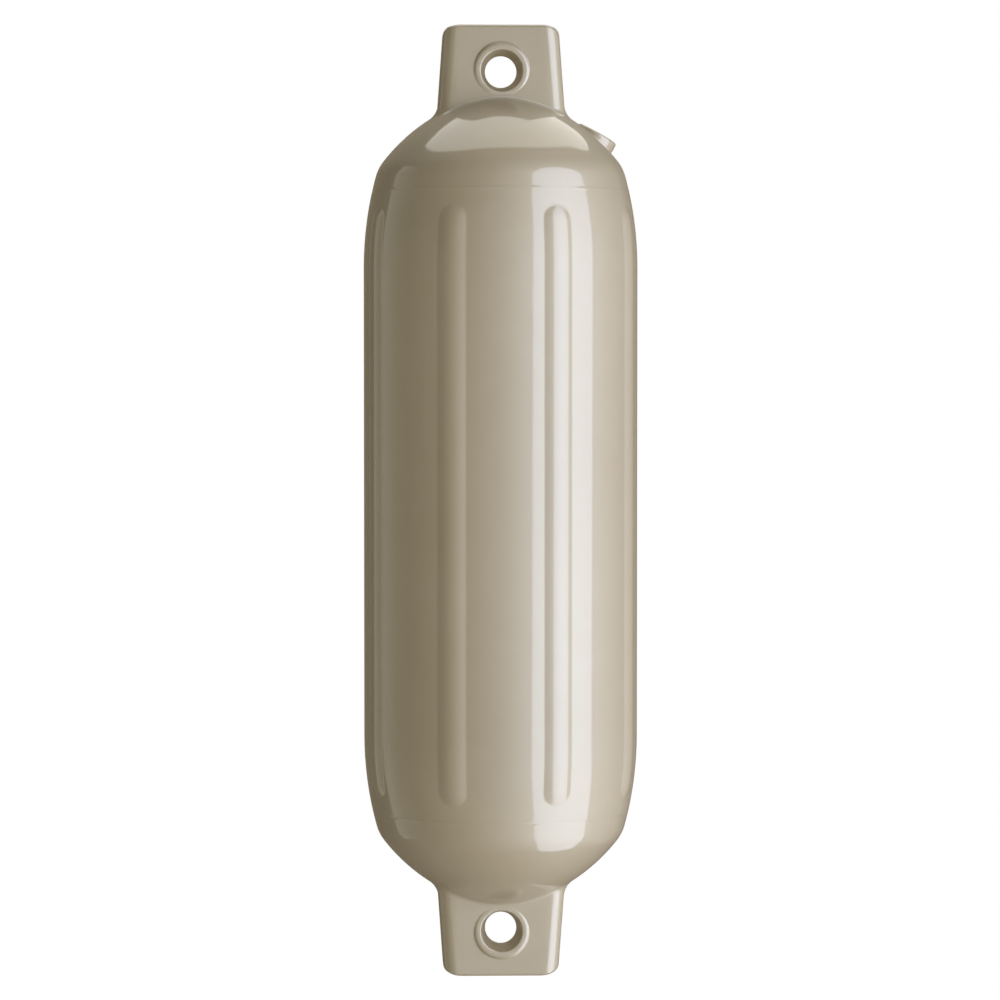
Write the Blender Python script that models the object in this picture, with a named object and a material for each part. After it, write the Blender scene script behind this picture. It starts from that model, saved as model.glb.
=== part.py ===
"""Inflatable vinyl boat fender, 5.5 by 19 inches, with a drafted eye tab at each end.

The fender stands on end as it hangs: +Z is up, X runs across the flat eye tabs and Y runs
through the eyes. The middle of the fender is at the world origin. All sizes are in metres.
"""
import math

import bpy
import bmesh
from mathutils import Matrix, Vector

# Overall size
OVERALL_LENGTH = 0.4826
BODY_DIAMETER = 0.1391

# End domes: three tangent arcs from the parallel wall in to the tab, each with the angle by
# which the outline has turned from upright where the arc ends
TAPER_ARC = 0.175
TAPER_TURN = math.radians(15.2)
SHOULDER_ARC = 0.022
SHOULDER_TURN = math.radians(38.0)
CROWN_ARC = 0.094

# Raised ribs along the body
RIB_COUNT = 8
RIB_WIDTH = 0.0156
RIB_HEIGHT = 0.0013
RIB_OVERRUN = 0.0305        # length of a rib past the end of the parallel wall

# Eye tabs
TAB_LENGTH = 0.0450         # from the tip to where the tab's side meets the dome
TAB_TIP_WIDTH = 0.0583
TAB_TIP_DEPTH = 0.0250
TAB_CORNER = 0.0072         # radius of the upright corners at the tip
TAB_DRAFT = math.radians(4.0)
TIP_FILLET = 0.0058
SIDE_FILLET = 0.0098        # between dome and tab, at the tab's narrow sides
FACE_FILLET = 0.0030        # the same on the tab's flat faces

# Eyes: a bore that narrows to the middle of the tab, and a raised lip on both faces
EYE_FROM_TIP = 0.0233
EYE_THROAT_RADIUS = 0.0080
EYE_TAPER = math.radians(9.5)
EYE_RIM_FILLET = 0.0016
LIP_RADIUS = 0.0145
LIP_FILLET = 0.0022
LIP_RISE = 0.0009           # above the tab's face at the middle of the eye

# Valve boss on the upper dome, in line with a rib and leaning straight out across the tab
VALVE_INSET = 0.0184        # how far in from the body's side the boss meets the dome
VALVE_TILT = math.radians(29.5)
BOSS_RADIUS = 0.0110
BOSS_HEIGHT = 0.0067        # at the middle of the boss
BOSS_FILLET = 0.0010

# Valve: insert, washer and sealing screw, all on the boss's axis
FIT = 0.0003                # clearance between parts that touch
INSERT_RADIUS = 0.0056
INSERT_LENGTH = 0.0140
FLANGE_RADIUS = 0.0076
FLANGE_THICKNESS = 0.0014
SCREW_HEAD_RADIUS = 0.0038
SCREW_HEAD_HEIGHT = 0.0019
SHANK_RADIUS = 0.0022
SHANK_LENGTH = 0.0090
SLOT_WIDTH = 0.0009
SLOT_DEPTH = 0.0009
SCREW_CHAMFER = 0.0004
WASHER_THICKNESS = 0.0010

# How far a cutter runs past the face that it opens
CUT_MARGIN = 0.002

# Derived sizes
HALF_LENGTH = OVERALL_LENGTH / 2
BODY_RADIUS = BODY_DIAMETER / 2
RIB_PITCH = 2 * math.pi / RIB_COUNT
RIB_HALF_ANGLE = RIB_WIDTH / BODY_DIAMETER
VALVE_BEARING = RIB_PITCH / 2


def dome_rise(turn):
    """Radius, and height above the parallel wall, where the outline has turned by `turn`."""
    radius, height, start = BODY_RADIUS, 0.0, 0.0
    for arc, end in ((TAPER_ARC, TAPER_TURN), (SHOULDER_ARC, SHOULDER_TURN), (CROWN_ARC, math.pi / 2)):
        stop = min(turn, end)
        radius -= arc * (math.cos(start) - math.cos(stop))
        height += arc * (math.sin(stop) - math.sin(start))
        if turn <= end:
            break
        start = end
    return radius, height


def turn_at_radius(radius, offset=0.0):
    """Turn at which the outline, moved outwards by `offset`, has the given radius."""
    low, high = 0.0, math.pi / 2
    for _ in range(40):
        middle = (low + high) / 2
        if dome_rise(middle)[0] + offset * math.cos(middle) > radius:
            low = middle
        else:
            high = middle
    return (low + high) / 2


TAB_ROOT_HALF_WIDTH = TAB_TIP_WIDTH / 2 + TAB_LENGTH * math.tan(TAB_DRAFT)
WALL_HALF = HALF_LENGTH - TAB_LENGTH - dome_rise(turn_at_radius(TAB_ROOT_HALF_WIDTH))[1]


def dome(turn):
    """Radius and world height on the upper dome."""
    radius, height = dome_rise(turn)
    return radius, WALL_HALF + height


def tab_outline(azimuth, grow):
    """Point on the tab's rounded outline in direction `azimuth`, and the way out of it there.

    The outline is the one at the tip, grown by `grow` on all sides.
    """
    half_x = TAB_TIP_WIDTH / 2 + grow
    half_y = TAB_TIP_DEPTH / 2 + grow
    corner = TAB_CORNER + grow
    ray = Vector((abs(math.cos(azimuth)), abs(math.sin(azimuth))))
    if ray.y * half_x <= ray.x * (half_y - corner):
        point, outward = ray * (half_x / ray.x), Vector((1.0, 0.0))
    elif ray.x * half_y <= ray.y * (half_x - corner):
        point, outward = ray * (half_y / ray.y), Vector((0.0, 1.0))
    else:
        centre = Vector((half_x - corner, half_y - corner))
        along = ray.dot(centre)
        point = ray * (along + math.sqrt(along ** 2 - centre.length_squared + corner ** 2))
        outward = (point - centre) / corner
    signs = Vector((math.copysign(1.0, math.cos(azimuth)), math.copysign(1.0, math.sin(azimuth))))
    return point * signs, outward * signs


def draft_growth(height):
    """How much wider the tab is on each side at this height than at its tip."""
    return (HALF_LENGTH - height) * math.tan(TAB_DRAFT)


def root_fillet(azimuth):
    """The ball that rounds the corner between dome and tab, with its two touching points."""
    height = HALF_LENGTH - TAB_LENGTH
    for _ in range(20):
        point, outward = tab_outline(azimuth, draft_growth(height))
        ball = FACE_FILLET + (SIDE_FILLET - FACE_FILLET) * outward.x ** 2
        centre = point + outward * ball * math.cos(TAB_DRAFT)
        turn = turn_at_radius(centre.length, ball)
        height = dome(turn)[1] + ball * (math.sin(turn) - math.sin(TAB_DRAFT))
    on_tab = Vector((*point, height))
    middle = Vector((*centre, height + ball * math.sin(TAB_DRAFT)))
    on_dome = Vector((*(centre.normalized() * dome(turn)[0]), dome(turn)[1]))
    return middle, on_tab, on_dome


def rib_height(azimuth, height):
    """How far the ribs stand out of the body at this point: arched across, round at the ends."""
    offset = azimuth % RIB_PITCH - RIB_PITCH / 2
    past_end = max(abs(height) - (WALL_HALF + RIB_OVERRUN - RIB_WIDTH / 2), 0.0)
    share = math.hypot(offset * BODY_RADIUS, past_end) / (RIB_WIDTH / 2)
    return RIB_HEIGHT * max(1 - share ** 2, 0.0)


def column_azimuths():
    """Azimuths of the lengthwise lines of points, close over each rib.

    The ribs lie half a pitch round from the X axis, so none is in line with the tabs.
    """
    over_rib = [share * RIB_HALF_ANGLE for share in (-1.0, -0.75, -0.4, 0.0, 0.4, 0.75, 1.0)]
    rib_margin = 0.0032
    beside = RIB_HALF_ANGLE + rib_margin / BODY_RADIUS
    spaces = 4
    gap = RIB_PITCH - 2 * beside
    between = [beside + gap * step / spaces for step in range(spaces + 1)]
    return [RIB_PITCH * (rib + 0.5) + angle for rib in range(RIB_COUNT) for angle in over_rib + between]


def taper_turns():
    """Turns of the rings of points from the parallel wall past the ribs' ends."""
    rib_end = RIB_OVERRUN - RIB_WIDTH / 2
    rises = [0.0, rib_end / 2] + [rib_end + share * RIB_WIDTH / 2 for share in (0.0, 0.4, 0.75, 1.0)]
    return [math.asin(rise / TAPER_ARC) for rise in rises]


def smooth(share):
    return share * share * (3 - 2 * share)


def column_points(azimuth):
    """One lengthwise line of points, from the parallel wall's end to the flat of the tab's tip."""
    around = Vector((math.cos(azimuth), math.sin(azimuth)))
    points = []
    for turn in taper_turns():
        radius, height = dome(turn)
        lift = rib_height(azimuth, height)
        points.append(Vector((*(around * (radius + lift * math.cos(turn))), height + lift * math.sin(turn))))

    # Shoulder and crown, while the columns drift to where the tab's corner needs them
    middle, on_tab, on_dome = root_fillet(azimuth)
    last_radius = on_dome.xy.length
    drift = on_dome.xy.angle_signed(around)
    shoulder_steps, crown_steps = 4, 5
    rings = [(TAPER_TURN + (SHOULDER_TURN - TAPER_TURN) * step / shoulder_steps)
             for step in range(shoulder_steps + 1)]
    first_radius = dome(SHOULDER_TURN)[0]
    rings += [turn_at_radius(first_radius + (last_radius - first_radius) * step / crown_steps)
              for step in range(1, crown_steps + 1)]
    for step, turn in enumerate(rings):
        radius, height = dome(turn)
        share = smooth(max(step - shoulder_steps, 0) / crown_steps)
        angle = azimuth + drift * share
        points.append(Vector((radius * math.cos(angle), radius * math.sin(angle), height)))

    # Concave fillet, then the drafted side of the tab
    fillet_steps = 4
    start, end = on_dome - middle, on_tab - middle
    sweep = start.angle(end)
    for step in range(1, fillet_steps + 1):
        share = step / fillet_steps
        spoke = (start * math.sin(sweep * (1 - share)) + end * math.sin(sweep * share)) / math.sin(sweep)
        points.append(middle + spoke)

    # Rounded edge of the tip
    tip_steps = 5
    fillet_start = HALF_LENGTH - TIP_FILLET * (1 - math.sin(TAB_DRAFT))
    for step in range(tip_steps + 1):
        angle = TAB_DRAFT + (math.pi / 2 - TAB_DRAFT) * step / tip_steps
        inset = TIP_FILLET * (math.cos(TAB_DRAFT) - math.cos(angle))
        point, _ = tab_outline(azimuth, draft_growth(fillet_start) - inset)
        points.append(Vector((*point, HALF_LENGTH - TIP_FILLET * (1 - math.sin(angle)))))
    return points


def material(name, colour, roughness, metallic=0.0):
    found = bpy.data.materials.new(name)
    found.use_nodes = True
    shader = found.node_tree.nodes["Principled BSDF"]
    shader.inputs["Base Color"].default_value = (*colour, 1.0)
    shader.inputs["Roughness"].default_value = roughness
    shader.inputs["Metallic"].default_value = metallic
    found.diffuse_color = (*colour, 1.0)
    return found


def add_object(name, bm, surface=None, crease=math.radians(32)):
    """Turn a bmesh into an object whose faces all look outwards."""
    bmesh.ops.remove_doubles(bm, verts=bm.verts, dist=0.00001)
    bmesh.ops.recalc_face_normals(bm, faces=bm.faces)
    mesh = bpy.data.meshes.new(name)
    bm.to_mesh(mesh)
    bm.free()
    if surface:
        mesh.materials.append(surface)
    mesh.shade_smooth()
    mesh.set_sharp_from_angle(angle=crease)
    thing = bpy.data.objects.new(name, mesh)
    bpy.context.collection.objects.link(thing)
    return thing


def revolve(profile, segments):
    """Solid of revolution about Z from (radius, height) points that start and end on the axis."""
    bm = bmesh.new()
    line = [bm.verts.new((radius, 0.0, height)) for radius, height in profile]
    edges = [bm.edges.new(pair) for pair in zip(line, line[1:])]
    bmesh.ops.spin(bm, geom=line + edges, cent=(0, 0, 0), axis=(0, 0, 1), angle=2 * math.pi,
                   steps=segments, use_duplicate=False)
    return bm


def arc(centre, radius, start, end, steps):
    """Points of an arc in the (radius, height) plane; angles in degrees from the outward side."""
    angles = [math.radians(start + (end - start) * step / steps) for step in range(steps + 1)]
    return [(centre[0] + radius * math.cos(angle), centre[1] + radius * math.sin(angle)) for angle in angles]


def combine(target, tool, operation):
    """Join a tool solid to the target, or cut it out, and hide the tool."""
    modifier = target.modifiers.new(tool.name, "BOOLEAN")
    modifier.operation = operation
    modifier.solver = "EXACT"
    modifier.object = tool
    tool.hide_render = True
    tool.display_type = "WIRE"


def build_shell(vinyl):
    """The body with its ribs, domes and both eye tabs as one lofted skin."""
    bm = bmesh.new()
    columns = []
    for azimuth in column_azimuths():
        upper = column_points(azimuth)
        lower = [Vector((point.x, point.y, -point.z)) for point in reversed(upper)]
        columns.append([bm.verts.new(point) for point in lower + upper])
    for left, right in zip(columns, columns[1:] + columns[:1]):
        for row in range(len(left) - 1):
            bm.faces.new((left[row], right[row], right[row + 1], left[row + 1]))
    bm.faces.new([column[-1] for column in columns])
    bm.faces.new([column[0] for column in reversed(columns)])
    return add_object("fender_body", bm, vinyl, crease=math.radians(18))


def build_eye(shell, height, label):
    """Raise the lips round one eye and bore it through the tab."""
    half_depth = TAB_TIP_DEPTH / 2 + draft_growth(abs(height))
    crest = half_depth + LIP_RISE
    lip_round = arc((LIP_RADIUS - LIP_FILLET, crest - LIP_FILLET), LIP_FILLET, 90, 0, 3)
    half_lip = [(0.0, crest)] + lip_round
    lip = revolve(half_lip + [(r, -h) for r, h in reversed(half_lip)], 36)

    # The rim is round, so the cutter flares out to meet the lip's crest
    rim_start = crest - EYE_RIM_FILLET
    rim_radius = EYE_THROAT_RADIUS + rim_start * math.tan(EYE_TAPER)
    rim = arc((rim_radius + EYE_RIM_FILLET, rim_start), EYE_RIM_FILLET, 180, 90, 3)
    clear = (rim[-1][0], crest + CUT_MARGIN)
    half = [(0.0, clear[1]), clear] + list(reversed(rim))
    bore = revolve(half + [(EYE_THROAT_RADIUS, 0.0)] + [(r, -h) for r, h in reversed(half)], 36)

    for bm, name, operation in ((lip, "lip", "UNION"), (bore, "bore", "DIFFERENCE")):
        tool = add_object(f"{label}_eye_{name}", bm)
        tool.location = (0.0, 0.0, height)
        tool.rotation_euler = (math.pi / 2, 0.0, 0.0)
        combine(shell, tool, operation)


def valve_axis():
    """Placement of the valve: the middle of the boss's flat face, with +Z out of it."""
    radius, height = dome(turn_at_radius(BODY_RADIUS - VALVE_INSET))
    foot = Vector((radius * math.cos(VALVE_BEARING), radius * math.sin(VALVE_BEARING), height))
    out = Vector((math.sin(VALVE_TILT), 0.0, math.cos(VALVE_TILT)))
    return Matrix.Translation(foot + out * BOSS_HEIGHT) @ Matrix.Rotation(VALVE_TILT, 4, "Y")


def build_boss(shell):
    """The moulded boss, with a stepped pocket that takes the valve insert."""
    root = -BOSS_HEIGHT - INSERT_LENGTH
    edge = arc((BOSS_RADIUS - BOSS_FILLET, -BOSS_FILLET), BOSS_FILLET, 90, 0, 3)
    boss = add_object("valve_boss", revolve([(0.0, 0.0)] + edge + [(BOSS_RADIUS, root), (0.0, root)], 36))
    bottom = -INSERT_LENGTH - FIT
    step = -FLANGE_THICKNESS - FIT
    profile = [(0.0, CUT_MARGIN), (FLANGE_RADIUS + FIT, CUT_MARGIN), (FLANGE_RADIUS + FIT, step),
               (INSERT_RADIUS + FIT, step), (INSERT_RADIUS + FIT, bottom), (0.0, bottom)]
    pocket = add_object("valve_pocket", revolve(profile, 32))
    for tool, operation in ((boss, "UNION"), (pocket, "DIFFERENCE")):
        tool.matrix_world = valve_axis()
        combine(shell, tool, operation)


def build_valve(plastic, rubber, screw_plastic):
    """Flanged insert, sealing washer and slotted screw."""
    seat = -SCREW_HEAD_HEIGHT - WASHER_THICKNESS - FIT
    recess = SCREW_HEAD_RADIUS + FIT
    hole = SHANK_RADIUS + FIT
    profile = [(recess, 0.0), (FLANGE_RADIUS, 0.0), (FLANGE_RADIUS, -FLANGE_THICKNESS),
               (INSERT_RADIUS, -FLANGE_THICKNESS), (INSERT_RADIUS, -INSERT_LENGTH),
               (hole, -INSERT_LENGTH), (hole, seat - FIT), (recess, seat - FIT), (recess, 0.0)]
    insert = add_object("valve_insert", revolve(profile, 32), plastic)

    top = seat + WASHER_THICKNESS
    profile = [(hole, top), (SCREW_HEAD_RADIUS, top), (SCREW_HEAD_RADIUS, seat), (hole, seat), (hole, top)]
    washer = add_object("valve_washer", revolve(profile, 28), rubber)

    under = top + FIT
    head_top = under + SCREW_HEAD_HEIGHT - FIT
    profile = [(0.0, head_top), (SCREW_HEAD_RADIUS - SCREW_CHAMFER, head_top),
               (SCREW_HEAD_RADIUS, head_top - SCREW_CHAMFER), (SCREW_HEAD_RADIUS, under),
               (SHANK_RADIUS, under), (SHANK_RADIUS, under - SHANK_LENGTH), (0.0, under - SHANK_LENGTH)]
    screw = add_object("valve_screw", revolve(profile, 28), screw_plastic)
    bm = bmesh.new()
    bmesh.ops.create_cube(bm, size=1.0, matrix=Matrix.Translation((0, 0, head_top)) @ Matrix.Diagonal(
        (SCREW_HEAD_RADIUS * 3, SLOT_WIDTH, SLOT_DEPTH * 2, 1.0)))
    slot = add_object("screw_slot", bm)
    combine(screw, slot, "DIFFERENCE")
    for piece in (insert, washer, screw, slot):
        piece.matrix_world = valve_axis()


def main():
    for thing in list(bpy.data.objects):
        bpy.data.objects.remove(thing, do_unlink=True)
    vinyl = material("fender_vinyl", (0.36, 0.30, 0.20), 0.22)
    plastic = material("valve_plastic", (0.70, 0.68, 0.62), 0.35)
    rubber = material("washer_rubber", (0.03, 0.03, 0.03), 0.70)
    screw_plastic = material("screw_plastic", (0.75, 0.73, 0.68), 0.40)

    shell = build_shell(vinyl)
    for side, label in ((1, "top"), (-1, "bottom")):
        build_eye(shell, side * (HALF_LENGTH - EYE_FROM_TIP), label)
    build_boss(shell)
    build_valve(plastic, rubber, screw_plastic)


main()
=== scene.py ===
import math
import bpy
import bmesh
from mathutils import Matrix, Vector


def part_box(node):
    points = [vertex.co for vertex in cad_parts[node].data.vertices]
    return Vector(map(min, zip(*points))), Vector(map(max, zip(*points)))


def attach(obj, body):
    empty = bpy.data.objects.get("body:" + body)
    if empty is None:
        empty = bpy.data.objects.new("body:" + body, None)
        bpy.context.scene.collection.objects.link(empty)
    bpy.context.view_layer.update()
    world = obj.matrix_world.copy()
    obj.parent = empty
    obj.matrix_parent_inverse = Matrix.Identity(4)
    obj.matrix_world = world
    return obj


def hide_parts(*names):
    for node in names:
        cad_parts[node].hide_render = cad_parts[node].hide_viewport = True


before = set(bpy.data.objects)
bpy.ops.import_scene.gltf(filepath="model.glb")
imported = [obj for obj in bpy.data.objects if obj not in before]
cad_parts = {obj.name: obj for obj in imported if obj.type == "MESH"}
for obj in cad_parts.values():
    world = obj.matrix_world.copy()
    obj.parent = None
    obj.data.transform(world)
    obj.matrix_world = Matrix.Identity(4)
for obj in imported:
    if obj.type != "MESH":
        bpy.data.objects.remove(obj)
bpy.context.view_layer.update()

# A moulded vinyl boat fender: glossy ribbed body, drafted tab and eye at each end, air valve on the
# upper dome. Z runs along the fender, X across the tabs, Y through the eyes. Sizes are in metres.
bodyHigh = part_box("fender_body")[1]
halfLength = bodyHigh[2]
bodyRadius = bodyHigh[0]

bodyShape = {
    "taperArc": 0.175,        # long first arc of the end dome
    "taperTurn": 15.2,        # degrees that the outline has turned where it ends
    "shoulderArc": 0.022,
    "shoulderTurn": 38.0,
    "crownArc": 0.094,
    "ribCount": 8,
    "ribWidth": 0.0156,
    "ribHeight": 0.0013,
    "ribOverrun": 0.0305,     # how far a rib runs on past the straight wall
    "ribCrease": 0.00012,     # softness of the corner where a rib meets the wall
    "ribRoundness": 1.25,     # 1 is a plain arch; more is rounder on top
}
tabShape = {
    "length": 0.0450,
    "tipWidth": 0.0583,
    "tipDepth": 0.0250,
    "corner": 0.0072,
    "draft": 4.0,             # degrees
    "tipRound": 0.0058,       # at the narrow sides of the tip
    "tipFaceRound": 0.0019,   # along its flat faces
    "sideFillet": 0.0098,     # dome to tab, at the narrow sides
    "faceFillet": 0.0030,     # dome to tab, on the flat faces
}

taperTurn = math.radians(bodyShape["taperTurn"])
shoulderTurn = math.radians(bodyShape["shoulderTurn"])
draft = math.radians(tabShape["draft"])
ribPitch = 2 * math.pi / bodyShape["ribCount"]
ribHalf = bodyShape["ribWidth"] / 2


def domeRise(turn):
    # radius and height above the straight wall where the outline has turned this far
    radius, height, start = bodyRadius, 0.0, 0.0
    arcs = ((bodyShape["taperArc"], taperTurn), (bodyShape["shoulderArc"], shoulderTurn),
            (bodyShape["crownArc"], math.pi / 2))
    for arc, end in arcs:
        stop = min(turn, end)
        radius -= arc * (math.cos(start) - math.cos(stop))
        height += arc * (math.sin(stop) - math.sin(start))
        if turn <= end:
            break
        start = end
    return radius, height


def turnAtRadius(radius, offset=0.0):
    low, high = 0.0, math.pi / 2
    for _ in range(36):
        middle = (low + high) / 2
        if domeRise(middle)[0] + offset * math.cos(middle) > radius:
            low = middle
        else:
            high = middle
    return (low + high) / 2


tabRootHalf = tabShape["tipWidth"] / 2 + tabShape["length"] * math.tan(draft)
wallHalf = halfLength - tabShape["length"] - domeRise(turnAtRadius(tabRootHalf))[1]
ribEnd = wallHalf + bodyShape["ribOverrun"] - ribHalf    # height where a rib's round end starts


def dome(turn):
    radius, height = domeRise(turn)
    return radius, wallHalf + height


def draftGrowth(height):
    return (halfLength - abs(height)) * math.tan(draft)


def tabOutline(azimuth, grow):
    # point on the tab's rounded outline in this direction, and the way out of it there
    halfX = tabShape["tipWidth"] / 2 + grow
    halfY = tabShape["tipDepth"] / 2 + grow
    corner = tabShape["corner"]
    ray = Vector((abs(math.cos(azimuth)), abs(math.sin(azimuth))))
    if ray.y * halfX <= ray.x * (halfY - corner):
        point, outward = ray * (halfX / ray.x), Vector((1.0, 0.0))
    elif ray.x * halfY <= ray.y * (halfX - corner):
        point, outward = ray * (halfY / ray.y), Vector((0.0, 1.0))
    else:
        centre = Vector((halfX - corner, halfY - corner))
        along = ray.dot(centre)
        point = ray * (along + math.sqrt(along ** 2 - centre.length_squared + corner ** 2))
        outward = (point - centre) / corner
    signs = Vector((math.copysign(1.0, math.cos(azimuth)), math.copysign(1.0, math.sin(azimuth))))
    return point * signs, outward * signs


def rootFillet(azimuth):
    # ball that rolls round the corner between dome and tab: its centre and its two touching points
    height = halfLength - tabShape["length"]
    for _ in range(12):
        point, outward = tabOutline(azimuth, draftGrowth(height))
        spread = tabShape["sideFillet"] - tabShape["faceFillet"]
        ball = tabShape["faceFillet"] + spread * outward.x ** 2
        centre = point + outward * ball * math.cos(draft)
        turn = turnAtRadius(centre.length, ball)
        height = dome(turn)[1] + ball * (math.sin(turn) - math.sin(draft))
    onTab = Vector((*point, height))
    middle = Vector((*centre, height + ball * math.sin(draft)))
    onDome = Vector((*(centre.normalized() * dome(turn)[0]), dome(turn)[1]))
    return middle, onTab, onDome


def softMax(first, second, blend):
    # the larger of two heights, with the corner between them rounded
    gap = first - second
    if abs(gap) >= blend:
        return max(first, second)
    return second + (gap + blend) ** 2 / (4 * blend)


def ribLift(azimuth, height):
    offset = azimuth % ribPitch - ribPitch / 2
    pastEnd = max(abs(height) - ribEnd, 0.0)
    share = math.hypot(offset * bodyRadius, pastEnd) / ribHalf
    arch = 1 - share ** 2
    rise = bodyShape["ribHeight"] * math.copysign(abs(arch) ** bodyShape["ribRoundness"], arch)
    return softMax(rise, 0.0, bodyShape["ribCrease"])


def quarterTurn(steps):
    return [math.pi / 2 * step / steps for step in range(steps + 1)]


skinGrid = {
    "ribColumns": 11,         # from the middle of a rib to its edge
    "besideRib": (0.00028, 0.0007, 0.0016),
    "spaces": 10,             # between two ribs
    "wallRows": 12,
    "ribRows": 4,             # from the end of the straight wall to a rib's round end
    "ribEndRows": 18,
    "taperRows": 8,
    "shoulderRows": 14,
    "crownRows": 26,
    "filletRows": 10,
    "tabRows": 6,
    "tipRows": 9,
}


def columnAzimuths():
    half = [ribHalf * math.sin(angle) for angle in quarterTurn(skinGrid["ribColumns"])[1:-1]]
    half += [ribHalf] + [ribHalf + beside for beside in skinGrid["besideRib"]]
    offsets = [-value for value in reversed(half)] + [0.0] + half
    edge = half[-1] / bodyRadius
    gap = ribPitch - 2 * edge
    between = [edge + gap * step / skinGrid["spaces"] for step in range(1, skinGrid["spaces"])]
    perRib = [offset / bodyRadius for offset in offsets] + between
    return [ribPitch * (rib + 0.5) + angle for rib in range(bodyShape["ribCount"]) for angle in perRib]


def taperTurns():
    # rows from the end of the straight wall, closest together where the ribs end
    endRise, rows = ribEnd - wallHalf, skinGrid["ribRows"]
    rises = [endRise * step / rows for step in range(rows)]
    rises += [endRise + ribHalf * math.sin(angle) for angle in quarterTurn(skinGrid["ribEndRows"])[:-1]]
    rises += [bodyShape["ribOverrun"] + beside for beside in (0.0,) + skinGrid["besideRib"]]
    turns = [math.asin(rise / bodyShape["taperArc"]) for rise in rises]
    rows = skinGrid["taperRows"]
    return turns + [turns[-1] + (taperTurn - turns[-1]) * step / rows for step in range(1, rows)]


def smooth(share):
    return share * share * (3 - 2 * share)


def upperColumn(azimuth, turns):
    # one line of points from the end of the straight wall up to the flat of the tab's tip
    ray = Vector((math.cos(azimuth), math.sin(azimuth)))
    points = []
    for turn in turns:
        radius, height = dome(turn)
        lift = ribLift(azimuth, height)
        foot = ray * (radius + lift * math.cos(turn))
        points.append(Vector((*foot, height + lift * math.sin(turn))))

    # shoulder and crown, where the lines drift to where the tab's corner needs them
    middle, onTab, onDome = rootFillet(azimuth)
    drift = onDome.xy.angle_signed(ray)
    shoulderRows, crownRows = skinGrid["shoulderRows"], skinGrid["crownRows"]
    rings = [taperTurn + (shoulderTurn - taperTurn) * step / shoulderRows
             for step in range(shoulderRows + 1)]
    firstRadius, lastRadius = dome(shoulderTurn)[0], onDome.xy.length
    rings += [turnAtRadius(firstRadius + (lastRadius - firstRadius) * step / crownRows)
              for step in range(1, crownRows + 1)]
    for step, turn in enumerate(rings):
        radius, height = dome(turn)
        angle = azimuth + drift * smooth(max(step - shoulderRows, 0) / crownRows)
        points.append(Vector((radius * math.cos(angle), radius * math.sin(angle), height)))

    start, end = onDome - middle, onTab - middle
    sweep = start.angle(end)
    for step in range(1, skinGrid["filletRows"] + 1):
        share = step / skinGrid["filletRows"]
        spoke = start * math.sin(sweep * (1 - share)) + end * math.sin(sweep * share)
        points.append(middle + spoke / math.sin(sweep))

    # drafted side of the tab, then its rounded tip
    outward = tabOutline(azimuth, 0.0)[1]
    tipRound = tabShape["tipFaceRound"] + (tabShape["tipRound"] - tabShape["tipFaceRound"]) * outward.x ** 2
    tipStart = halfLength - tipRound * (1 - math.sin(draft))
    for step in range(1, skinGrid["tabRows"]):
        height = onTab.z + (tipStart - onTab.z) * step / skinGrid["tabRows"]
        points.append(Vector((*tabOutline(azimuth, draftGrowth(height))[0], height)))
    for step in range(skinGrid["tipRows"] + 1):
        angle = draft + (math.pi / 2 - draft) * step / skinGrid["tipRows"]
        inset = tipRound * (math.cos(draft) - math.cos(angle))
        point = tabOutline(azimuth, draftGrowth(tipStart) - inset)[0]
        points.append(Vector((*point, halfLength - tipRound * (1 - math.sin(angle)))))
    return points


def ringDirections(sides):
    angles = [2 * math.pi * step / sides for step in range(sides)]
    return [(math.cos(angle), math.sin(angle)) for angle in angles]


def addRows(bm, rows):
    # faces between lists of points that stand side by side in a ring
    verts = [[bm.verts.new(point) for point in row] for row in rows]
    for left, right in zip(verts, verts[1:] + verts[:1]):
        for step in range(len(left) - 1):
            bm.faces.new((left[step], right[step], right[step + 1], left[step + 1]))
    return verts


def shadeSmooth(mesh):
    mesh.shade_smooth()
    mesh.set_sharp_from_angle(angle=math.radians(30))


def addObject(name, bm, material=None):
    bmesh.ops.recalc_face_normals(bm, faces=bm.faces)
    mesh = bpy.data.meshes.new(name)
    bm.to_mesh(mesh)
    bm.free()
    shadeSmooth(mesh)
    thing = bpy.data.objects.new(name, mesh)
    bpy.context.scene.collection.objects.link(thing)
    if material:
        mesh.materials.append(material)
    return thing


def addCutter(name, radius, bottom, top, place):
    bm = bmesh.new()
    middle = Matrix.Translation((0.0, 0.0, (top + bottom) / 2))
    bmesh.ops.create_cone(bm, cap_ends=True, segments=96, radius1=radius, radius2=radius,
                          depth=top - bottom, matrix=middle)
    cutter = addObject(name, bm)
    cutter.matrix_world = place
    return cutter


def cutAndKeep(thing, cutters):
    # cuts holes, then keeps the result as the object's own mesh
    for cutter in cutters:
        modifier = thing.modifiers.new(cutter.name, "BOOLEAN")
        modifier.operation = "DIFFERENCE"
        modifier.solver = "EXACT"
        modifier.object = cutter
    bpy.context.view_layer.update()
    solid = bpy.data.meshes.new_from_object(thing.evaluated_get(bpy.context.evaluated_depsgraph_get()))
    thing.modifiers.clear()
    thing.data = solid
    shadeSmooth(solid)
    for cutter in cutters:
        bpy.data.objects.remove(cutter, do_unlink=True)


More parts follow.
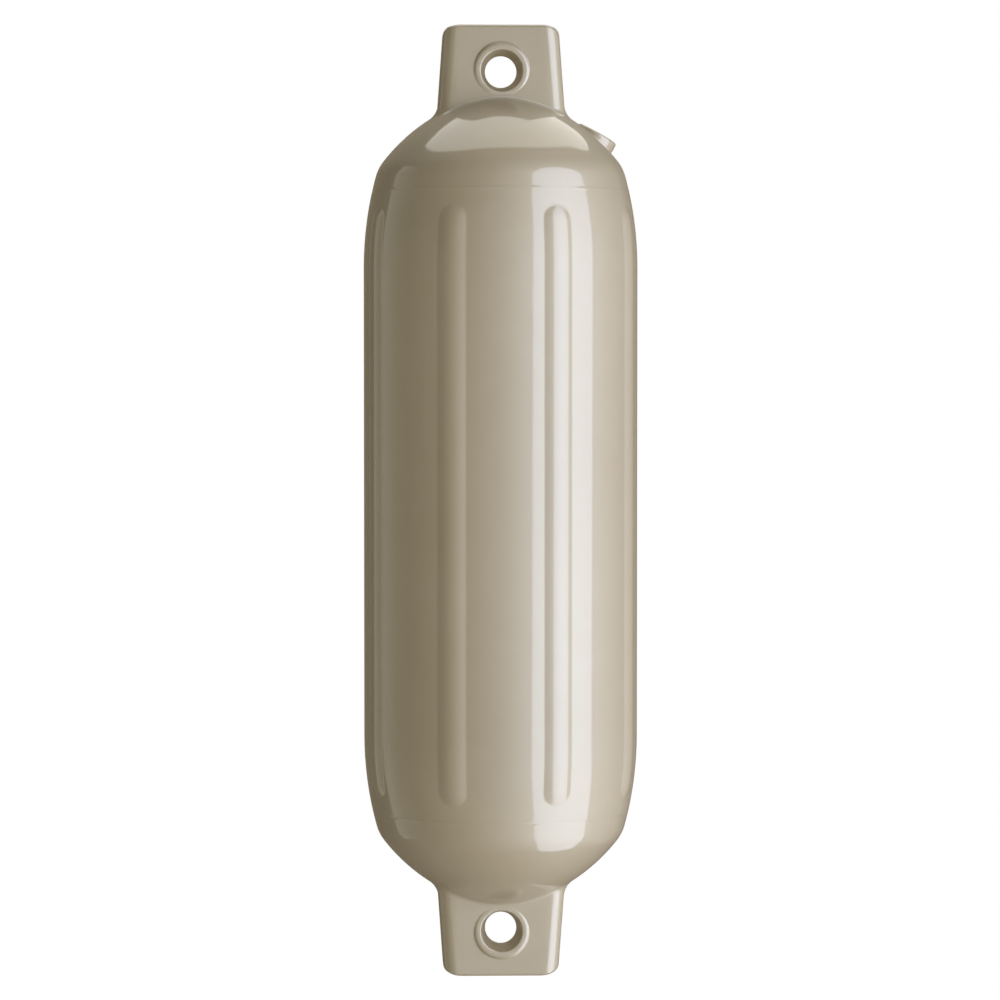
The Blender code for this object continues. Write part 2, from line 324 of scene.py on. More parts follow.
# Eyes: a bore that narrows to the middle of the tab, inside a raised round lip on both faces
eyeShape = {
    "fromTip": 0.0233,
    "throatRadius": 0.0080,
    "taper": 9.5,             # degrees
    "rimRound": 0.0008,
    "lipRadius": 0.0146,
    "lipRound": 0.0024,
    "lipRise": 0.0009,
    "lipSlope": 6.0,          # of the lip's outer side, below its rounding
    "foot": 0.00018,          # softness where the lip meets the face
    "skirt": 0.0165,          # radius out to which the lip's own mesh lies on the face
    "skirtLift": 0.000012,
    "underside": ((0.0, 0.0002), (0.0023, 0.0012)),  # in from the skirt's edge, depth under the face
    "cutRadius": 0.0120,      # hole in the tab's own mesh, hidden by the lip
    "cutReach": 0.03,
    "boreRows": 6,
    "rimRows": 8,
    "skirtRows": 26,
    "sides": 112,
}


def eyeProfile(height):
    # (radius, depth) points from the middle of the bore out to the rim, and the level of the lip's crest
    crest = tabShape["tipDepth"] / 2 + draftGrowth(height) + eyeShape["lipRise"]
    rimStart = crest - eyeShape["rimRound"]
    flare = math.tan(math.radians(eyeShape["taper"]))
    throat, rows = eyeShape["throatRadius"], eyeShape["boreRows"]
    bore = [(throat + rimStart * flare * step / rows, rimStart * step / rows) for step in range(rows)]
    rimRadius = throat + rimStart * flare
    rimRound = eyeShape["rimRound"]
    rim = [(rimRadius + rimRound * (1 - math.cos(angle)), rimStart + rimRound * math.sin(angle))
           for angle in quarterTurn(eyeShape["rimRows"])]
    return bore, rim, crest


def lipDrop(radius):
    # how far the lip has fallen below its crest at this distance from the eye's axis
    out = radius - (eyeShape["lipRadius"] - eyeShape["lipRound"])
    if out <= 0:
        return 0.0
    if out >= eyeShape["lipRound"]:
        return eyeShape["lipRound"] + (out - eyeShape["lipRound"]) * eyeShape["lipSlope"]
    return eyeShape["lipRound"] - math.sqrt(eyeShape["lipRound"] ** 2 - out ** 2)


def addEyeRing(bm, side):
    height = side * (halfLength - eyeShape["fromTip"])
    bore, rim, crest = eyeProfile(height)
    skirt, skirtRows = eyeShape["skirt"], eyeShape["skirtRows"]
    rimEdge = rim[-1][0]
    outerRadii = [rimEdge + (skirt - rimEdge) * step / skirtRows for step in range(1, skirtRows + 1)]
    rows = []
    for across, up in ringDirections(eyeShape["sides"]):
        half = bore + rim
        for radius in outerRadii:
            face = tabShape["tipDepth"] / 2 + draftGrowth(height + radius * up)
            level = softMax(crest - lipDrop(radius), face, eyeShape["foot"])
            half.append((radius, max(level, face + eyeShape["skirtLift"])))
        face = tabShape["tipDepth"] / 2 + draftGrowth(height + skirt * up)
        half += [(skirt - inset, face - depth) for inset, depth in eyeShape["underside"]]
        section = [(radius, -depth) for radius, depth in reversed(half[1:])] + half
        rows.append([Vector((across * radius, depth, height + up * radius)) for radius, depth in section])
    verts = addRows(bm, rows)
    for left, right in zip(verts, verts[1:] + verts[:1]):
        bm.faces.new((left[-1], right[-1], right[0], left[0]))


# Air valve: a short moulded boss on the upper dome, with a stepped pocket for the insert
valveShape = {
    "inset": 0.0184,          # from the body's side to the middle of the boss's foot
    "tilt": 29.5,             # degrees, leaning straight out across the tab
    "bossRadius": 0.0110,
    "bossHeight": 0.0067,
    "bossRound": 0.0012,
    "bossFillet": 0.0016,
    "pocketEdge": 0.0003,
    "footLift": 0.00001,      # of the boss's own mesh over the dome
    "footSunk": 0.0003,       # of that mesh's edge
    "hidden": 0.0010,         # how far its unseen underside stays inside the boss
    "cutRadius": 0.0090,      # hole in the dome's own mesh, hidden by the boss
    "cutDepth": 0.0165,
    "cutAbove": 0.0040,
    "fit": 0.0003,
    "insertRadius": 0.0056,
    "insertLength": 0.0140,
    "insertRound": 0.0004,
    "recessRound": 0.00025,
    "flangeRadius": 0.0076,
    "flangeThickness": 0.0014,
    "flangeRound": 0.0005,
    "screwRadius": 0.0038,
    "screwHead": 0.0019,
    "headRound": 0.0004,
    "shankRadius": 0.0022,
    "shankLength": 0.0090,
    "shankRound": 0.0005,
    "slotWidth": 0.0009,
    "slotDepth": 0.0009,
    "washer": 0.0010,
    "footRows": 8,
    "wallRows": 4,
    "edgeRows": 6,
    "sides": 96,
    "turnedRows": 5,          # in each rounded edge of the insert and the screw
    "turnedSides": 72,
}


def valvePlace():
    tilt = math.radians(valveShape["tilt"])
    radius, height = dome(turnAtRadius(bodyRadius - valveShape["inset"]))
    bearing = ribPitch / 2    # in line with a rib
    foot = Vector((radius * math.cos(bearing), radius * math.sin(bearing), height))
    out = Vector((math.sin(tilt), 0.0, math.cos(tilt)))
    return Matrix.Translation(foot + out * valveShape["bossHeight"]) @ Matrix.Rotation(tilt, 4, "Y")


def domeBelow(place, across, along):
    # level of the dome under a point of the boss, measured along the boss's axis
    low, high = -0.030, 0.006    # well inside the body, and above the boss
    for _ in range(30):
        level = (low + high) / 2
        point = place @ Vector((across, along, level))
        radius = math.hypot(point.x, point.y)
        outside = radius >= bodyRadius or point.z > dome(turnAtRadius(radius))[1]
        if outside:
            high = level
        else:
            low = level
    return (low + high) / 2


def addBoss(bm, place):
    wall, edge, fillet = valveShape["bossRadius"], valveShape["bossRound"], valveShape["bossFillet"]
    pocket = valveShape["flangeRadius"] + valveShape["fit"]
    pocketEdge = valveShape["pocketEdge"]
    step = -valveShape["flangeThickness"] - valveShape["fit"]
    bore = valveShape["insertRadius"] + valveShape["fit"]
    bottom = -valveShape["insertLength"] - valveShape["fit"]
    skirtEnd = wall + fillet
    rows = []
    for across, along in ringDirections(valveShape["sides"]):
        line = [(wall - valveShape["hidden"], bottom - valveShape["hidden"])]
        level = domeBelow(place, across * skirtEnd, along * skirtEnd)
        line.append((skirtEnd, level - valveShape["footSunk"]))
        for lean in quarterTurn(valveShape["footRows"]):
            # starts flat on the dome and ends upright on the wall
            radius = skirtEnd - fillet * math.sin(lean)
            level = domeBelow(place, across * radius, along * radius)
            line.append((radius, level + fillet * (1 - math.cos(lean)) + valveShape["footLift"]))
        foot, wallRows = line[-1][1], valveShape["wallRows"]
        line += [(wall, foot + (-edge - foot) * row / wallRows) for row in range(1, wallRows)]
        line += [(wall - edge * (1 - math.cos(lean)), -edge * (1 - math.sin(lean)))
                 for lean in quarterTurn(valveShape["edgeRows"])]
        line += [(pocket + pocketEdge, 0.0), (pocket + pocketEdge / 3, -pocketEdge / 3),
                 (pocket, -pocketEdge), (pocket, step), (bore, step), (bore, bottom)]
        rows.append([place @ Vector((across * radius, along * radius, level)) for radius, level in line])
    verts = addRows(bm, rows)
    bm.faces.new([line[-1] for line in verts])
    bm.faces.new([line[0] for line in verts])


def fenderSkin(material):
    turns = taperTurns()
    bm = bmesh.new()
    columns = []
    for azimuth in columnAzimuths():
        upper = upperColumn(azimuth, turns)
        lower = [Vector((point.x, point.y, -point.z)) for point in reversed(upper)]
        rows = skinGrid["wallRows"]
        wall = [lower[-1].lerp(upper[0], step / rows) for step in range(1, rows)]
        columns.append(lower + wall + upper)
    verts = addRows(bm, columns)
    bm.faces.new([column[-1] for column in verts])
    bm.faces.new([column[0] for column in verts])
    skin = addObject("fenderSkin", bm, material)

    place = valvePlace()
    cutters = [addCutter("bossCutter", valveShape["cutRadius"], -valveShape["cutDepth"],
                         valveShape["cutAbove"], place)]
    for side in (1, -1):
        eyePlace = Matrix.Translation((0.0, 0.0, side * (halfLength - eyeShape["fromTip"])))
        turned = eyePlace @ Matrix.Rotation(math.pi / 2, 4, "X")
        reach = eyeShape["cutReach"]
        cutters.append(addCutter("eyeCutter", eyeShape["cutRadius"], -reach, reach, turned))
    cutAndKeep(skin, cutters)

    # the lips, bores and boss are moulded with the body, so they join its mesh
    bm = bmesh.new()
    for side in (1, -1):
        addEyeRing(bm, side)
    addBoss(bm, place)
    bmesh.ops.recalc_face_normals(bm, faces=bm.faces)
    bm.from_mesh(skin.data)
    bm.to_mesh(skin.data)
    bm.free()
    shadeSmooth(skin.data)
    skin.data.validate()
    return skin


def roundedCorner(corner, before, after, rounding):
    # points of the quarter round that takes a right-angled corner off a profile
    toBefore = (before - corner).normalized() * rounding
    toAfter = (after - corner).normalized() * rounding
    centre = corner + toBefore + toAfter
    return [centre - toAfter * math.cos(angle) - toBefore * math.sin(angle)
            for angle in quarterTurn(valveShape["turnedRows"])]


def turnedPiece(name, corners, material, place):
    # solid of revolution; corners are (radius, level, rounding), on the axis at both ends or a closed ring
    points = [Vector((radius, level)) for radius, level, _ in corners]
    profile = []
    for step, (_, _, rounding) in enumerate(corners):
        if rounding:
            after = points[(step + 1) % len(points)]
            profile += roundedCorner(points[step], points[step - 1], after, rounding)
        else:
            profile.append(points[step])
    if corners[0][0] > 0:
        profile.append(profile[0])
    bm = bmesh.new()
    addRows(bm, [[Vector((across * point.x, along * point.x, point.y)) for point in profile]
                 for across, along in ringDirections(valveShape["turnedSides"])])
    bmesh.ops.remove_doubles(bm, verts=bm.verts, dist=0.000001)
    piece = addObject(name, bm, material)
    piece.matrix_world = place
    return piece


def placeOnFender(piece, node):
    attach(piece, "root")
    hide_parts(node)


def valveInsert(material, place):
    recess = valveShape["screwRadius"] + valveShape["fit"]
    hole = valveShape["shankRadius"] + valveShape["fit"]
    seat = -valveShape["screwHead"] - valveShape["washer"] - 2 * valveShape["fit"]
    under, end = -valveShape["flangeThickness"], -valveShape["insertLength"]
    flange, stem = valveShape["flangeRadius"], valveShape["insertRadius"]
    corners = [(recess, 0.0, valveShape["recessRound"]), (flange, 0.0, valveShape["flangeRound"]),
               (flange, under, 0.0), (stem, under, 0.0), (stem, end, valveShape["insertRound"]),
               (hole, end, 0.0), (hole, seat, 0.0), (recess, seat, 0.0)]
    return turnedPiece("valveInsert", corners, material, place)


def valveScrew(material, place):
    head, shank = valveShape["screwRadius"], valveShape["shankRadius"]
    under = -valveShape["screwHead"]
    top = -valveShape["fit"]
    tip = under - valveShape["shankLength"]
    corners = [(0.0, top, 0.0), (head, top, valveShape["headRound"]), (head, under, 0.0),
               (shank, under, 0.0), (shank, tip, valveShape["shankRound"]), (0.0, tip, 0.0)]
    screw = turnedPiece("valveScrew", corners, material, place)
    bm = bmesh.new()
    size = (head * 3, valveShape["slotWidth"], valveShape["slotDepth"] * 2, 1.0)
    bmesh.ops.create_cube(bm, size=1.0, matrix=Matrix.Translation((0.0, 0.0, top)) @ Matrix.Diagonal(size))
    slotCutter = addObject("slotCutter", bm)
    slotCutter.matrix_world = place
    cutAndKeep(screw, [slotCutter])
    return screw


def feed(links, value, socket):
    # a number or a vector is set on the socket, an output is linked to it, and None leaves it alone
    if isinstance(value, (int, float, tuple, Vector)):
        socket.default_value = value
    elif value is not None:
        links.new(value, socket)


def groupNode(nodes, tree, values):
    node = nodes.new("ShaderNodeGroup")
    node.node_tree = tree
    for name, value in values.items():
        node.inputs[name].default_value = value
    return node


def newGroup(name, inputs, outputs):
    tree = bpy.data.node_groups.new(name, "ShaderNodeTree")
    for label, value in inputs.items():
        kind = "NodeSocketVector" if value is None else "NodeSocketFloat"
        socket = tree.interface.new_socket(name=label, in_out="INPUT", socket_type=kind)
        if value is not None:
            socket.default_value = value
    for label in outputs:
        tree.interface.new_socket(name=label, in_out="OUTPUT", socket_type="NodeSocketFloat")
    return tree, tree.nodes.new("NodeGroupInput"), tree.nodes.new("NodeGroupOutput")


def mathNode(nodes, links, operation, first, second=None):
    node = nodes.new("ShaderNodeMath")
    node.operation = operation
    for socket, value in zip(node.inputs, (first, second)):
        feed(links, value, socket)
    return node.outputs["Value"]


def vectorNode(nodes, links, operation, first, second=None):
    node = nodes.new("ShaderNodeVectorMath")
    node.operation = operation
    feed(links, first, node.inputs[0])
    feed(links, second, node.inputs["Scale" if operation == "SCALE" else 1])
    return node.outputs["Value" if operation in ("DOT_PRODUCT", "LENGTH") else "Vector"]


def noiseNode(nodes, links, vector, scale, detail):
    node = nodes.new("ShaderNodeTexNoise")
    node.inputs["Detail"].default_value = detail
    links.new(vector, node.inputs["Vector"])
    feed(links, scale, node.inputs["Scale"])
    return node.outputs["Fac"]


def rangeNode(nodes, links, value, fromLow, fromHigh, toLow, toHigh):
    node = nodes.new("ShaderNodeMapRange")
    links.new(value, node.inputs["Value"])
    limits = {"From Min": fromLow, "From Max": fromHigh, "To Min": toLow, "To Max": toHigh}
    for label, limit in limits.items():
        feed(links, limit, node.inputs[label])
    return node.outputs["Result"]


surfaceGrain = {
    "mottleScale": 14.0,
    "mottleRange": (0.35, 0.65),
    "rubRange": (0.62, 0.74),
    "patchScale": 22.0,       # patches that the rubs gather in
    "patchRange": (0.48, 0.68),
    "dustScale": 60.0,
    "dustRange": (0.40, 0.75),
}


def mouldedSurface():
    # skin of a moulded part: fine orange peel with slow ripples as a height, and a slow mottle of tone
    inputs = {"Vector": None, "Peel Scale": 700.0, "Ripple Scale": 45.0, "Ripple": 0.5}
    tree, given, result = newGroup("mouldedSurface", inputs, ("Height", "Mottle"))
    nodes, links, where = tree.nodes, tree.links, given.outputs["Vector"]
    peel = noiseNode(nodes, links, where, given.outputs["Peel Scale"], 2.0)
    ripple = noiseNode(nodes, links, where, given.outputs["Ripple Scale"], 1.0)
    deep = mathNode(nodes, links, "MULTIPLY", ripple, given.outputs["Ripple"])
    links.new(mathNode(nodes, links, "ADD", peel, deep), result.inputs["Height"])
    mottle = noiseNode(nodes, links, where, surfaceGrain["mottleScale"], 4.0)
    tone = rangeNode(nodes, links, mottle, *surfaceGrain["mottleRange"], 0.0, 1.0)
    links.new(tone, result.inputs["Mottle"])
    return tree


def handlingMarks():
    # fine lengthwise rubs, gathered in patches, and a film of dust that lies thicker in places
    inputs = {"Vector": None, "Rub Scale": 900.0, "Stretch": 0.02, "Rubs": 0.5}
    tree, given, result = newGroup("handlingMarks", inputs, ("Rub", "Dust"))
    nodes, links, where = tree.nodes, tree.links, given.outputs["Vector"]
    squeeze = nodes.new("ShaderNodeCombineXYZ")
    for label, value in (("X", 1.0), ("Y", 1.0), ("Z", given.outputs["Stretch"])):
        feed(links, value, squeeze.inputs[label])
    stretched = vectorNode(nodes, links, "MULTIPLY", where, squeeze.outputs["Vector"])
    lines = noiseNode(nodes, links, stretched, given.outputs["Rub Scale"], 3.0)
    thin = rangeNode(nodes, links, lines, *surfaceGrain["rubRange"], 0.0, 1.0)
    spots = noiseNode(nodes, links, where, surfaceGrain["patchScale"], 3.0)
    patches = rangeNode(nodes, links, spots, *surfaceGrain["patchRange"], 0.0, 1.0)
    gathered = mathNode(nodes, links, "MULTIPLY", thin, patches)
    links.new(mathNode(nodes, links, "MULTIPLY", gathered, given.outputs["Rubs"]), result.inputs["Rub"])
    film = noiseNode(nodes, links, where, surfaceGrain["dustScale"], 5.0)
    links.new(rangeNode(nodes, links, film, *surfaceGrain["dustRange"], 0.0, 1.0), result.inputs["Dust"])
    return tree


def mixColours(nodes, links, factor, first, second):
    node = nodes.new("ShaderNodeMix")
    node.data_type = "RGBA"
    links.new(factor, node.inputs["Factor"])
    for label, colour in (("A", first), ("B", second)):
        feed(links, (*colour, 1.0) if isinstance(colour, tuple) else colour, node.inputs[label])
    return node.outputs["Result"]


def newMaterial(name):
    material = bpy.data.materials.new(name)
    material.use_nodes = True
    return material, material.node_tree.nodes["Principled BSDF"]


# painted highlight: a thin pale line along the crease where each tab meets its dome, fainter at the lower
# tab
creaseHighlightShape = {
    "upTab": 0.0105,          # the line ends this far up the tab from its root
    "upTabFade": 0.0010,
    "sideFade": 0.0040,       # past the width of the tab's tip
    "middleFade": 0.01,       # between the two halves of the fender
    "lowerShare": 0.3,        # strength at the lower tab, next to the upper one
}


def paintedCreaseHighlight(nodes, links, where, offset, width):
    # painted highlight: pale line along the crease at a tab's root, this far in front of the tab's flat
    # face
    split = nodes.new("ShaderNodeSeparateXYZ")
    links.new(where, split.inputs["Vector"])
    across, depth, level = (mathNode(nodes, links, "ABSOLUTE", split.outputs[axis]) for axis in "XYZ")
    lift = mathNode(nodes, links, "MULTIPLY", level, math.tan(draft))
    ahead = mathNode(nodes, links, "SUBTRACT", mathNode(nodes, links, "ADD", depth, lift),
                     tabShape["tipDepth"] / 2 + halfLength * math.tan(draft) + offset)
    line = rangeNode(nodes, links, mathNode(nodes, links, "ABSOLUTE", ahead), 0.0, width, 1.0, 0.0)
    side, end = tabShape["tipWidth"] / 2, halfLength - tabShape["length"] + creaseHighlightShape["upTab"]
    for value, *limits in ((across, side, side + creaseHighlightShape["sideFade"], 1.0, 0.0),
                           (level, end, end + creaseHighlightShape["upTabFade"], 1.0, 0.0),
                           (split.outputs["Z"], 0.0, creaseHighlightShape["middleFade"],
                            creaseHighlightShape["lowerShare"], 1.0)):
        line = mathNode(nodes, links, "MULTIPLY", line, rangeNode(nodes, links, value, *limits))
    return line


def mouldedMaterial(name, look, surface, marks):
    # gloss from the vinyl or plastic itself, under a soft haze
    material, shader = newMaterial(name)
    nodes, links = material.node_tree.nodes, material.node_tree.links
    where = nodes.new("ShaderNodeTexCoord").outputs["Object"]
    skinNode = groupNode(nodes, surface, {"Peel Scale": look["peelScale"], "Ripple": look["ripple"]})
    markNode = groupNode(nodes, marks, {"Rub Scale": look["rubScale"], "Stretch": look["rubStretch"],
                                        "Rubs": look["rubs"]})
    links.new(where, skinNode.inputs["Vector"])
    links.new(where, markNode.inputs["Vector"])

    toned = mixColours(nodes, links, skinNode.outputs["Mottle"], look["colour"], look["deepColour"])
    dusty = mathNode(nodes, links, "MULTIPLY", markNode.outputs["Dust"], look["dust"])
    rubbed = mathNode(nodes, links, "MULTIPLY", markNode.outputs["Rub"], look["rubPale"])
    dustRubsAndCreaseHighlight = mathNode(nodes, links, "MAXIMUM", dusty, rubbed)
    # painted highlights: pale lines along the tab creases, mixed in with the real dust and rubs
    for offset, width, share in look["creaseHighlights"]:
        line = mathNode(nodes, links, "MULTIPLY", paintedCreaseHighlight(nodes, links, where, offset, width), share)
        dustRubsAndCreaseHighlight = mathNode(nodes, links, "MAXIMUM", dustRubsAndCreaseHighlight, line)
    links.new(mixColours(nodes, links, dustRubsAndCreaseHighlight, toned, look["paleColour"]), shader.inputs["Base Color"])

    wear = mathNode(nodes, links, "MAXIMUM", markNode.outputs["Rub"], dusty)
    low, high = look["roughness"]
    links.new(rangeNode(nodes, links, wear, 0.0, 1.0, low, high), shader.inputs["Roughness"])

    height = skinNode.outputs["Height"]
    if look["partingHeight"]:
        # faint line left round each dome where the mould closed
        split = nodes.new("ShaderNodeSeparateXYZ")
        links.new(where, split.inputs["Vector"])
        level = mathNode(nodes, links, "ABSOLUTE", split.outputs["Z"])
        offset = mathNode(nodes, links, "SUBTRACT", level, look["partingHeight"])
        away = mathNode(nodes, links, "ABSOLUTE", offset)
        line = rangeNode(nodes, links, away, 0.0, look["partingWidth"], look["partingDepth"], 0.0)
        height = mathNode(nodes, links, "ADD", height, line)
    bump = nodes.new("ShaderNodeBump")
    bump.inputs["Strength"].default_value = look["bump"]
    bump.inputs["Distance"].default_value = look["bumpDistance"]
    links.new(height, bump.inputs["Height"])
    links.new(bump.outputs["Normal"], shader.inputs["Normal"])

    shader.inputs["IOR"].default_value = look["ior"]
    shader.inputs["Coat Weight"].default_value = look["haze"]
    shader.inputs["Coat Roughness"].default_value = look["hazeRoughness"]
    shader.inputs["Coat IOR"].default_value = look["hazeIor"]
    return material


vinylLook = {
    "colour": (0.372, 0.297, 0.174),
    "deepColour": (0.356, 0.283, 0.162),
    # pale colour of the dust and rubs, and of the painted crease highlights
    "paleColour": (0.52, 0.47, 0.38),
    "dust": 0.05,
    "rubPale": 0.12,
    "roughness": (0.055, 0.22),
    "ior": 1.54,
    "haze": 1.0,
    "hazeRoughness": 0.58,
    "hazeIor": 1.9,
    "peelScale": 700.0,
    "ripple": 0.8,
    "rubScale": 900.0,
    "rubStretch": 0.03,
    "rubs": 0.6,
    # painted highlight lines along the tab creases
    "creaseHighlights": ((0.00028, 0.00022, 1.0), (0.00130, 0.00030, 0.6)),  # ahead of face, width, share
    "partingHeight": 0.1575,
    "partingWidth": 0.0011,
    "partingDepth": 20.0,     # next to the orange peel's own height
    "bump": 0.12,
    "bumpDistance": 0.00012,
}
insertLook = dict(vinylLook, colour=(0.66, 0.63, 0.55), deepColour=(0.62, 0.59, 0.50),
                  paleColour=(0.78, 0.76, 0.70), roughness=(0.28, 0.45), haze=0.3, peelScale=2500.0,
                  rubScale=5000.0, rubStretch=0.4, creaseHighlights=(), partingHeight=0.0, dust=0.2,
                  bumpDistance=0.00005)
screwLook = dict(insertLook, colour=(0.74, 0.72, 0.66), deepColour=(0.70, 0.68, 0.61), rubs=0.9)
washerLook = dict(insertLook, colour=(0.028, 0.028, 0.030), deepColour=(0.020, 0.020, 0.021),
                  paleColour=(0.10, 0.10, 0.10), roughness=(0.60, 0.80), haze=0.0, dust=0.35, rubs=0.3)

print("fender: materials")
surfaceGroup = mouldedSurface()
marksGroup = handlingMarks()
vinyl = mouldedMaterial("fenderVinyl", vinylLook, surfaceGroup, marksGroup)
insertPlastic = mouldedMaterial("valvePlastic", insertLook, surfaceGroup, marksGroup)
screwPlastic = mouldedMaterial("screwPlastic", screwLook, surfaceGroup, marksGroup)
washerRubber = mouldedMaterial("washerRubber", washerLook, surfaceGroup, marksGroup)

print("fender: moulded skin")
skin = fenderSkin(vinyl)
placeOnFender(skin, "fender_body")
print("fender: skin has", len(skin.data.polygons), "faces")

print("fender: air valve")
onBoss = valvePlace()
placeOnFender(valveInsert(insertPlastic, onBoss), "valve_insert")
placeOnFender(valveScrew(screwPlastic, onBoss), "valve_screw")
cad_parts["valve_washer"].data.materials.clear()
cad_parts["valve_washer"].data.materials.append(washerRubber)


# Studio
studio = {
    "cameraDistance": 2.1715,
    "imageWidth": 0.5095,     # of the view at the fender's distance
    "sensorWidth": 36.0,      # millimetres
    "elevation": 2.27,        # degrees
    "azimuth": -2.0,
    "aim": (-0.0003, 0.0, 0.0007),           # what the camera looks at
    "floorDrop": 0.75,        # the fender hangs well above the floor
    "floorRadius": 6.0,
    "floorShade": 0.6,
    "floorRoughness": 0.8,
    "floorGlow": 0.9,         # what the camera sees of it
    "worldFill": (0.175, 0.180, 0.170),
    "glossFill": (0.20, 0.165, 0.105),       # what the gloss sees where there is no panel
    "backdrop": (1.0, 1.0, 1.0),
}


def addCamera():
    camera = bpy.data.objects.new("camera", bpy.data.cameras.new("camera"))
    bpy.context.scene.collection.objects.link(camera)
    elevation, azimuth = math.radians(studio["elevation"]), math.radians(studio["azimuth"])
    distance = studio["cameraDistance"]
    camera.location = (distance * math.cos(elevation) * math.sin(azimuth),
                       -distance * math.cos(elevation) * math.cos(azimuth), distance * math.sin(elevation))
    camera.rotation_euler = (-camera.location).to_track_quat("-Z", "Y").to_euler()
    camera.location += Vector(studio["aim"])
    camera.data.sensor_width = studio["sensorWidth"]
    camera.data.lens = studio["sensorWidth"] * distance / studio["imageWidth"]
    bpy.context.scene.camera = camera


def around(bearing, distance, level):
    # place in the studio; bearing is to the right of the camera
    turn = math.radians(bearing + studio["azimuth"])
    return Vector((distance * math.sin(turn), -distance * math.cos(turn), level))


stripPanel = {                # tall panel at the right, the long highlight on the front
    "bearing": 53.9,          # degrees to the right of the camera
    "distance": 1.0,
    "middle": (0.375, -0.93),                # across and up in the panel's own plane
    "size": (2.0, 4.2),
    "radiance": 4.35,
    "colour": (0.71, 0.80, 0.98),
    "line": ((0.02, 0.54), (-0.03, -0.30), (0.14, -0.85), (0.80, -2.40)),  # across and up
    "radius": 0.53,
    "soft": 0.03,
}
topPanel = {                  # level panel above, the highlight on the upper dome
    "place": (0.22, 0.34, 1.19),
    "roll": 26.6,             # degrees
    "size": (2.2, 1.5),
    "radiance": 2.4,
    "colour": (1.0, 0.98, 0.94),
    "line": ((-0.02, 0.60), (0.22, 1.0)),
    "radius": 0.74,
    "soft": 0.03,
}
leftPanel = {                 # panel at the left, which fades towards the camera's side
    "bearing": -98.4,
    "distance": 1.2,
    "size": (0.67, 1.9),
    "radiance": 0.86,
    "colour": (1.0, 0.97, 0.84),
    "reach": 1.0,             # of the line down its far edge, above and below the middle
    "radius": 0.68,
    "soft": 0.62,
}
rightWall = {                 # dim panel at the right, beyond the tall one
    "place": around(112.0, 1.3, 0.0),
    "size": (1.3, 2.2),
    "radiance": 0.20,
    "colour": (1.0, 1.0, 1.0),
}
evenLamps = {                 # light the vinyl without showing in its gloss
    "softKey": {"place": around(27.0, 1.6, -0.36), "size": (2.1, 2.0), "radiance": 2.18,
                "colour": (0.96, 0.98, 1.0)},
    "sideKey": {"place": around(60.0, 1.6, -0.20), "size": (2.1, 2.0), "radiance": 1.9,
                "colour": (0.70, 0.74, 1.0)},
    "overhead": {"place": Vector((0.1, -1.1, 1.5)), "size": (1.2, 1.0), "radiance": 0.22,
                 "colour": (1.0, 1.0, 1.0)},
    "backFill": {"place": around(185.0, 1.8, 0.75), "size": (1.6, 1.3), "radiance": 6.0,
                 "colour": (1.0, 1.0, 1.0)},
}


def addPanel(name, look, place, towards, roll=0.0, shows="gloss"):
    # soft lamp, for the gloss alone or for the even light alone
    lamp = bpy.data.objects.new(name, bpy.data.lights.new(name, "AREA"))
    bpy.context.scene.collection.objects.link(lamp)
    width, height = look["size"]
    lamp.data.shape = "RECTANGLE"
    lamp.data.size, lamp.data.size_y = width, height
    lamp.data.energy = look["radiance"] * math.pi * width * height
    lamp.data.color = look["colour"]
    lamp.location = place
    lamp.rotation_euler = (towards - place).to_track_quat("-Z", "Y").to_euler()
    lamp.rotation_euler.rotate_axis("Z", math.radians(roll))
    lamp.visible_camera = False
    lamp.visible_glossy = shows == "gloss"
    lamp.visible_diffuse = shows == "light"
    return lamp


def trimPanel(lamp, look, line):
    # lights only what lies near a line through these points, which gives a panel round ends
    lamp.data.use_nodes = True
    nodes, links = lamp.data.node_tree.nodes, lamp.data.node_tree.links
    place = nodes.new("ShaderNodeNewGeometry").outputs["Position"]
    nearest = None
    for first, second in zip(line, line[1:]):
        leg = second - first
        offset = vectorNode(nodes, links, "SUBTRACT", place, first)
        along = vectorNode(nodes, links, "DOT_PRODUCT", offset, leg / leg.length_squared)
        foot = vectorNode(nodes, links, "SCALE", leg, rangeNode(nodes, links, along, 0.0, 1.0, 0.0, 1.0))
        away = vectorNode(nodes, links, "LENGTH", vectorNode(nodes, links, "SUBTRACT", offset, foot))
        nearest = away if nearest is None else mathNode(nodes, links, "MINIMUM", nearest, away)
    inside = rangeNode(nodes, links, nearest, look["radius"] - look["soft"], look["radius"], 1.0, 0.0)
    links.new(inside, nodes["Emission"].inputs["Strength"])


def addStripPanel():
    front = around(stripPanel["bearing"], stripPanel["distance"], 0.0)
    side = around(stripPanel["bearing"] + 90.0, 1.0, 0.0)
    middle, *line = [front + side * across + Vector((0.0, 0.0, level))
                     for across, level in (stripPanel["middle"], *stripPanel["line"])]
    trimPanel(addPanel("stripPanel", stripPanel, middle, middle - front), stripPanel, line)


def addTopPanel():
    place = Vector(topPanel["place"])
    panel = addPanel("topPanel", topPanel, place, Vector((*place.xy, 0.0)), roll=topPanel["roll"])
    trimPanel(panel, topPanel, [Vector((*point, place.z)) for point in topPanel["line"]])


def addLeftPanel():
    place = around(leftPanel["bearing"], leftPanel["distance"], 0.0)
    edge = place + around(leftPanel["bearing"] - 90.0, leftPanel["size"][0] / 2, 0.0)
    up = Vector((0.0, 0.0, leftPanel["reach"]))
    trimPanel(addPanel("leftPanel", leftPanel, place, Vector()), leftPanel, [edge - up, edge + up])


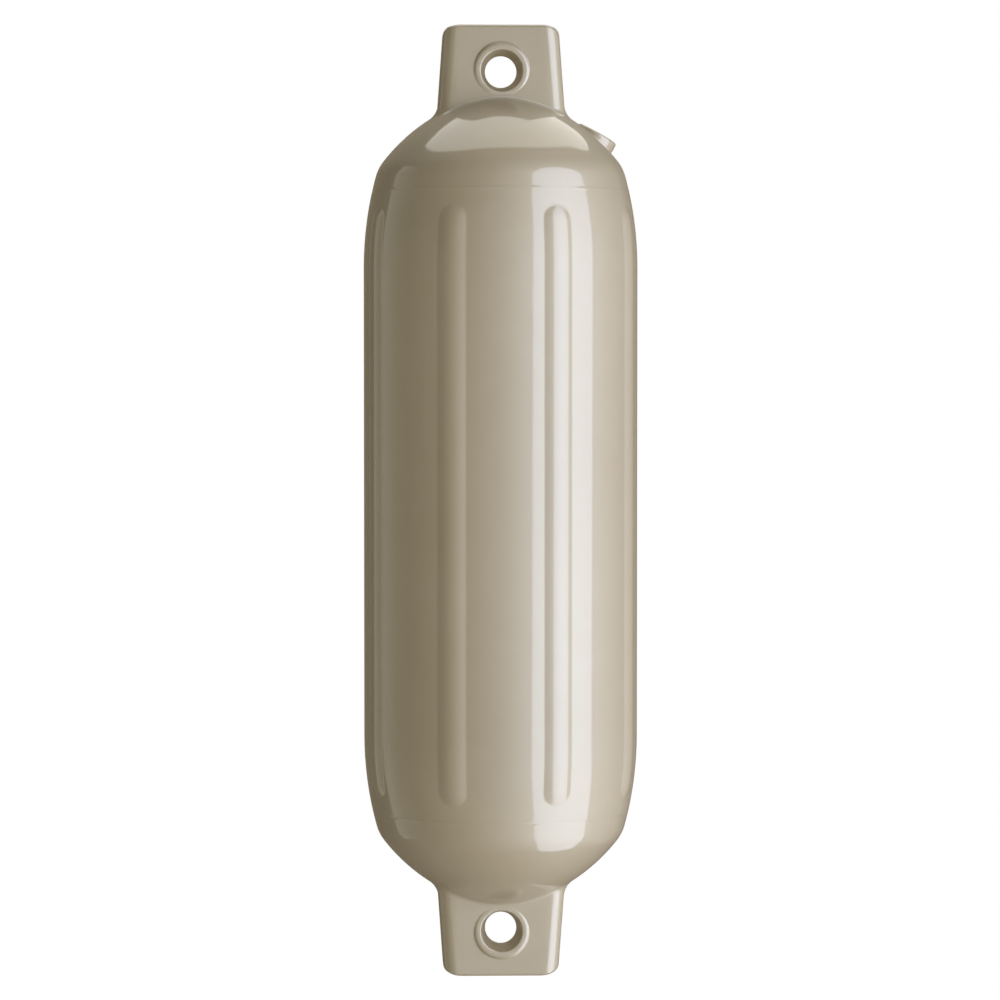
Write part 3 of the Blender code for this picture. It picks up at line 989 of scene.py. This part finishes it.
def addLamps():
    addStripPanel()
    addTopPanel()
    addPanel("rightWall", rightWall, rightWall["place"], Vector())
    addLeftPanel()
    for name, look in evenLamps.items():
        addPanel(name, look, look["place"], Vector(), shows="light")


def backgroundNode(nodes, colour):
    node = nodes.new("ShaderNodeBackground")
    node.inputs["Color"].default_value = (*colour, 1.0)
    return node.outputs["Background"]


def addWorld():
    # plain even light, a dim room for the gloss, and white for the camera and for what shines through
    world = bpy.data.worlds.new("studio")
    bpy.context.scene.world = world
    world.use_nodes = True
    nodes, links = world.node_tree.nodes, world.node_tree.links
    nodes.clear()
    rays = nodes.new("ShaderNodeLightPath").outputs
    seen = mathNode(nodes, links, "MAXIMUM", rays["Is Camera Ray"], rays["Is Transmission Ray"])
    light = backgroundNode(nodes, studio["worldFill"])
    for share, colour in ((rays["Is Glossy Ray"], studio["glossFill"]), (seen, studio["backdrop"])):
        mix = nodes.new("ShaderNodeMixShader")
        links.new(share, mix.inputs["Fac"])
        links.new(light, mix.inputs[1])
        links.new(backgroundNode(nodes, colour), mix.inputs[2])
        light = mix.outputs["Shader"]
    links.new(light, nodes.new("ShaderNodeOutputWorld").inputs["Surface"])


def addFloor():
    bm = bmesh.new()
    bmesh.ops.create_circle(bm, cap_ends=True, segments=96, radius=studio["floorRadius"])
    material, shader = newMaterial("studioFloor")
    shade, glow = studio["floorShade"], studio["floorGlow"]
    shader.inputs["Base Color"].default_value = (shade, shade, shade, 1.0)
    shader.inputs["Roughness"].default_value = studio["floorRoughness"]
    shader.inputs["Emission Color"].default_value = (glow, glow, glow, 1.0)
    nodes, links = material.node_tree.nodes, material.node_tree.links
    rays = nodes.new("ShaderNodeLightPath").outputs
    links.new(rays["Is Camera Ray"], shader.inputs["Emission Strength"])
    floor = addObject("studioFloor", bm, material)
    floor.location.z = -halfLength - studio["floorDrop"]
    floor.visible_glossy = False    # the vinyl shows a dark room between the lamps


print("fender: studio")
bpy.context.scene.view_settings.view_transform = "Standard"
addCamera()
addLamps()
addWorld()
addFloor()
